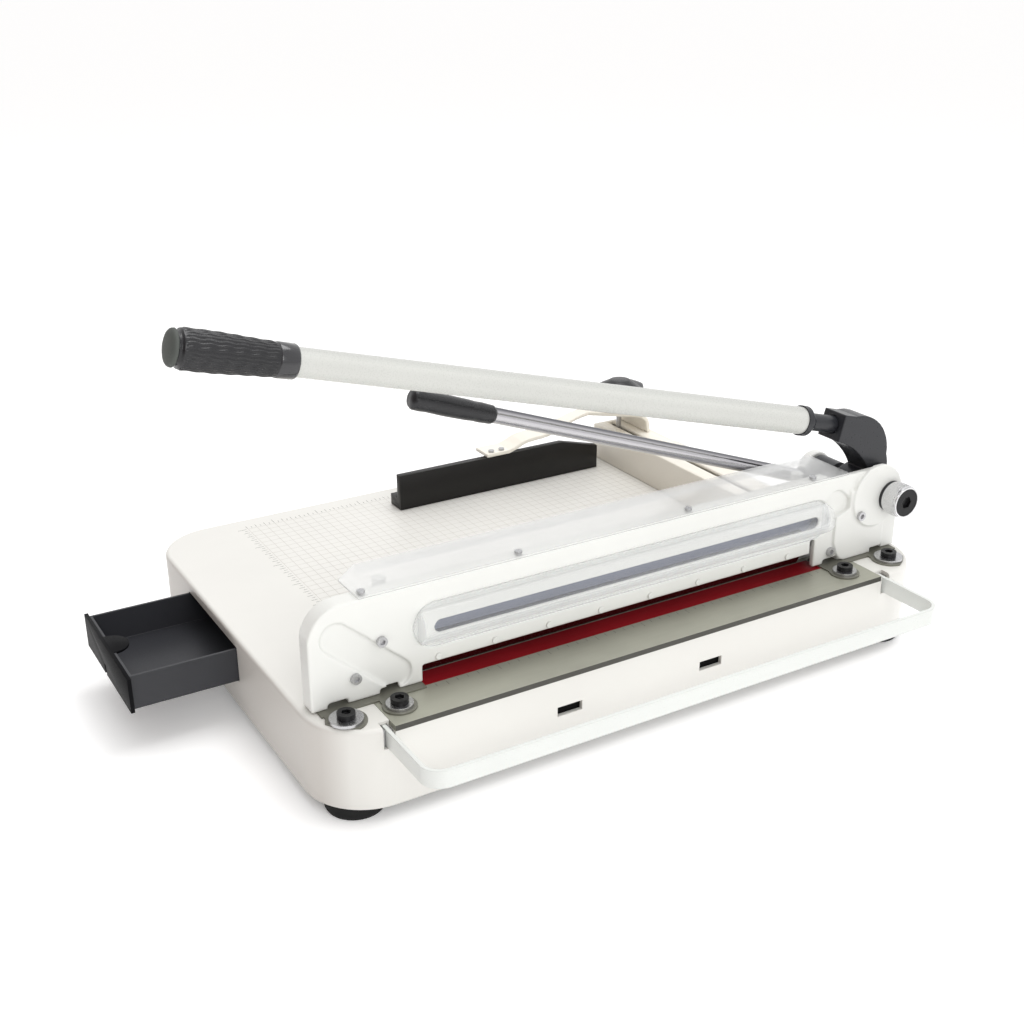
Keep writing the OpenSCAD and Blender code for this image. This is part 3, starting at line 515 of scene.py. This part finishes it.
class Axis:
    """A straight axis in an XZ plane that goes down to the right, with rings of points round it."""

    def __init__(self, x, y, z, slope):
        self.start = Vector((x, y, z))
        self.along = Vector((math.cos(slope), 0, -math.sin(slope)))
        self.up = Vector((math.sin(slope), 0, math.cos(slope)))

    def point(self, d, radius, angle):
        out = self.up * math.cos(angle) + Vector((0, 1, 0)) * math.sin(angle)
        return at(*(self.start + self.along * d + out * radius))

    def turned(self, stops, count):
        """Round rings through (distance, radius) stops."""
        turn = 2 * math.pi / count
        return [[self.point(d, radius, turn * i) for i in range(count)] for d, radius in stops]

    def moulded(self, length, rows, columns, radius):
        """Rings whose radius is a function of the distance and the angle."""
        turn = 2 * math.pi / columns
        rings = []
        for row in range(rows + 1):
            d = length * row / rows
            rings.append([self.point(d, radius(d, turn * i), turn * i) for i in range(columns)])
        return rings


def ease(t):
    t = min(1.0, max(0.0, t))
    return t * t * (3 - 2 * t)


def between(t, stops):
    """A smooth value at t through (t, value) stops."""
    for (t0, v0), (t1, v1) in zip(stops, stops[1:]):
        if t <= t1:
            return v0 + (v1 - v0) * ease((t - t0) / (t1 - t0))
    return stops[-1][1]


# ---- grips and knob ----


def lever_axis(x):
    """The cutting lever's axis from x on."""
    return Axis(x, LEVER_Y, LEVER_Z - (x - LEVER_X) * math.tan(LEVER_SLOPE), LEVER_SLOPE)


def lever_grip():
    """Black grip: a sunk ring next to its cap, a ribbed part that narrows, and a smooth glossy sleeve."""
    length = (GRIP_X1 - GRIP_X0) / math.cos(LEVER_SLOPE)
    axis = lever_axis(GRIP_X0)
    ribs_from, ribs_to = 4.0, length - 15
    ribs, rib_height, wave = 30, 0.65, 0.5
    body = [(0, 12.6), (2.6, 12.6), (3.1, 14.6), (ribs_from, 14.8), (22, 14.8), (ribs_to, 12.95),
            (length, 12.9)]

    def radius(d, angle):
        base = between(d, body)
        if not ribs_from < d < ribs_to:
            return base
        fade = ease((d - ribs_from) / 2) * ease((ribs_to - d) / 4)
        rib = math.cos(ribs * angle + 0.8 * math.sin(wave * d))
        breaks = math.cos(wave * d + 3.0 * math.cos(3 * angle))
        return base + rib_height * fade * ease(0.5 + 0.5 * rib) * (0.7 + 0.3 * breaks)

    ribbed = surface_through(axis.moulded(length, 150, 300, radius), "lever_grip_knurled")
    stand_in("lever_grip", "lever_grip_knurled", ribbed)
    stops = [(ribs_to - 0.6, 12.4), (ribs_to, 13.3), (ribs_to + 0.8, 13.6), (length - 1.2, 13.5),
             (length - 0.3, 13.1), (length, 12.3)]
    sleeve = surface_through(axis.turned(stops, 96), "lever_grip_sleeve")
    piece("lever_grip_sleeve", sleeve, "cutting_lever", LOOKS["grip_sleeve"])


def grip_cap():
    """A thin disc with a slightly crowned face on the grip's end."""
    stops = [(0.2, 3.0), (0.5, 6.5), (1.1, 10.0), (2.0, 12.4), (3.0, 13.5), (3.6, 13.8), (5.2, 14.1),
             (5.7, 13.7), (6.1, 12.5)]
    disc = surface_through(lever_axis(CAP_X).turned(stops, 96), "grip_cap_disc")
    stand_in("grip_cap", "grip_cap_disc", disc)


def clamp_grip():
    """Moulded grip with a swell in the middle and shallow flats for the fingers."""
    start_x = HUB_X - CLAMP_REACH * math.cos(CLAMP_SLOPE)
    start_z = HUB_Z + CLAMP_REACH * math.sin(CLAMP_SLOPE)
    length = 82.0
    body = [(0, 7.2), (2.5, 9.0), (10, 9.2), (34, 9.7), (52, 9.5), (66, 8.8), (79.5, 8.3), (length, 7.05)]
    flat_depth, flat_from, flat_to = 0.55, 8, 70

    def radius(d, angle):
        fade = ease((d - flat_from) / 8) * ease((flat_to - d) / 12)
        return between(d, body) - flat_depth * fade * (0.5 + 0.5 * math.cos(2 * angle)) ** 3

    rings = Axis(start_x, CLAMP_Y, start_z, CLAMP_SLOPE).moulded(length, 90, 72, radius)
    stand_in("clamp_grip", "clamp_grip_moulded", surface_through(rings, "clamp_grip_moulded"))


def gauge_knob():
    """Five-lobed knob with a boss below and a domed top."""
    z = TABLE_Z + KNOB_RISE
    columns = 120
    # height, radius, and how much of the lobes' depth is there
    profile = [(0, 9, 0), (0.8, 9.3, 0), (8.5, 9.3, 0), (9.2, 24, 0.6), (10.4, 28.5, 1), (12, 29.2, 1),
               (21, 29.2, 1), (24, 28.0, 1), (26, 24.5, 0.8), (28.5, 20, 0.35), (31, 14, 0),
               (32.6, 11.5, 0), (33, 10, 0)]
    rings = []
    for height, radius, lobed in profile:
        ring = []
        for i in range(columns):
            angle = 2 * math.pi * i / columns
            r = radius + LOBE_DEPTH * lobed * math.cos(LOBES * angle)
            ring.append(at(KNOB_X + r * math.cos(angle), KNOB_Y + r * math.sin(angle), z + height))
        rings.append(ring)
    stand_in("gauge_knob", "gauge_knob_lobed", surface_through(rings, "gauge_knob_lobed"))


# ---- painted shade: dark plates behind the front slots ----


def slot_shade_plates():
    """A near-black plate with an upper and a lower rim behind each of the two slots in the base's front, as
    painted shade for the hollow base behind them.
    """
    back = FRONT_Y + WALL
    half, low, high = 16, 41, 58
    plate, rim, rim_reach = 1.2, 1.4, 4
    plates = [((x - half, back, low), (x + half, back + plate, high)) for x in SLOTS_X]
    rims = []
    for x in SLOTS_X:
        for z in (low, high - rim):
            rims.append(((x - half, back + plate, z), (x + half, back + rim_reach, z + rim)))
    boxes("slot_shade_plates", plates + rims, LOOKS["slot_painted_shade"])


# ---- printed lines ----

INK_HEIGHT = 0.06
GRID_X, GRID_Y = (-230, 200), (-110, 200)
GRID_PITCH, GRID_HALF = 10, 0.22
TICK_PITCH, TICK_HALF, TICK_GAP = 5, 0.2, 2
BED_X, BED_PITCH, BED_TICKS_Y = (-210, 210), 10, FRONT_Y + 42


def steps(span, pitch):
    return range(span[0], span[1] + 1, pitch)


def tick_length(value):
    if value % 50 == 0:
        return 9
    return 6 if value % 10 == 0 else 3.5


def table_grid():
    (x0, x1), (y0, y1) = GRID_X, GRID_Y
    half, low, high = GRID_HALF, TABLE_Z, TABLE_Z + INK_HEIGHT
    lines = [((x - half, y0, low), (x + half, y1, high)) for x in steps(GRID_X, GRID_PITCH)]
    # the lines along X are a hair higher, so that no two faces meet where lines cross
    lines += [((x0, y - half, low), (x1, y + half, high + 0.01)) for y in steps(GRID_Y, GRID_PITCH)]
    boxes("table_grid", lines, LOOKS["grid_ink"])


def table_ruler():
    """Ticks along the grid's left and rear edges."""
    left, rear = GRID_X[0] - TICK_GAP, GRID_Y[1] + TICK_GAP
    half, low, high = TICK_HALF, TABLE_Z, TABLE_Z + INK_HEIGHT
    ticks = []
    for y in steps(GRID_Y, TICK_PITCH):
        ticks.append(((left - tick_length(y), y - half, low), (left, y + half, high)))
    for x in steps(GRID_X, TICK_PITCH):
        ticks.append(((x - half, rear, low), (x + half, rear + tick_length(x), high)))
    boxes("table_ruler", ticks, LOOKS["tick_ink"])


def bed_ruler():
    """Ticks on the bed plate, with a longer one every 50 mm."""
    half, low, high = TICK_HALF, TABLE_Z, TABLE_Z + INK_HEIGHT
    marks = []
    for x in steps(BED_X, BED_PITCH):
        reach = 7 if x % 50 == 0 else 4
        marks.append(((x - half, BED_TICKS_Y - reach, low), (x + half, BED_TICKS_Y, high)))
    boxes("bed_ruler", marks, LOOKS["tick_ink"])


camera()
studio()
floor()
LOOKS = all_looks()
paint_nodes()
cast_copy("front_plate", "housing_casting", cell=1.1, passes=2)
cast_copy("lever_elbow", "elbow_casting", cell=0.8, passes=6)
cast_copy("gauge_carriage", "carriage_casting", cell=0.9, passes=5)
cast_copy("rear_bracket", "bracket_casting", cell=0.9, passes=6)
bevelled_copy("side_fence", "fence_rounded", width=2.2)
bevelled_copy("gauge_bar", "gauge_bar_rounded", width=0.8)
bevelled_copy("drawer_front", "drawer_front_rounded", width=0.8)
lever_grip()
grip_cap()
clamp_grip()
gauge_knob()
slot_shade_plates()
table_grid()
table_ruler()
bed_ruler()
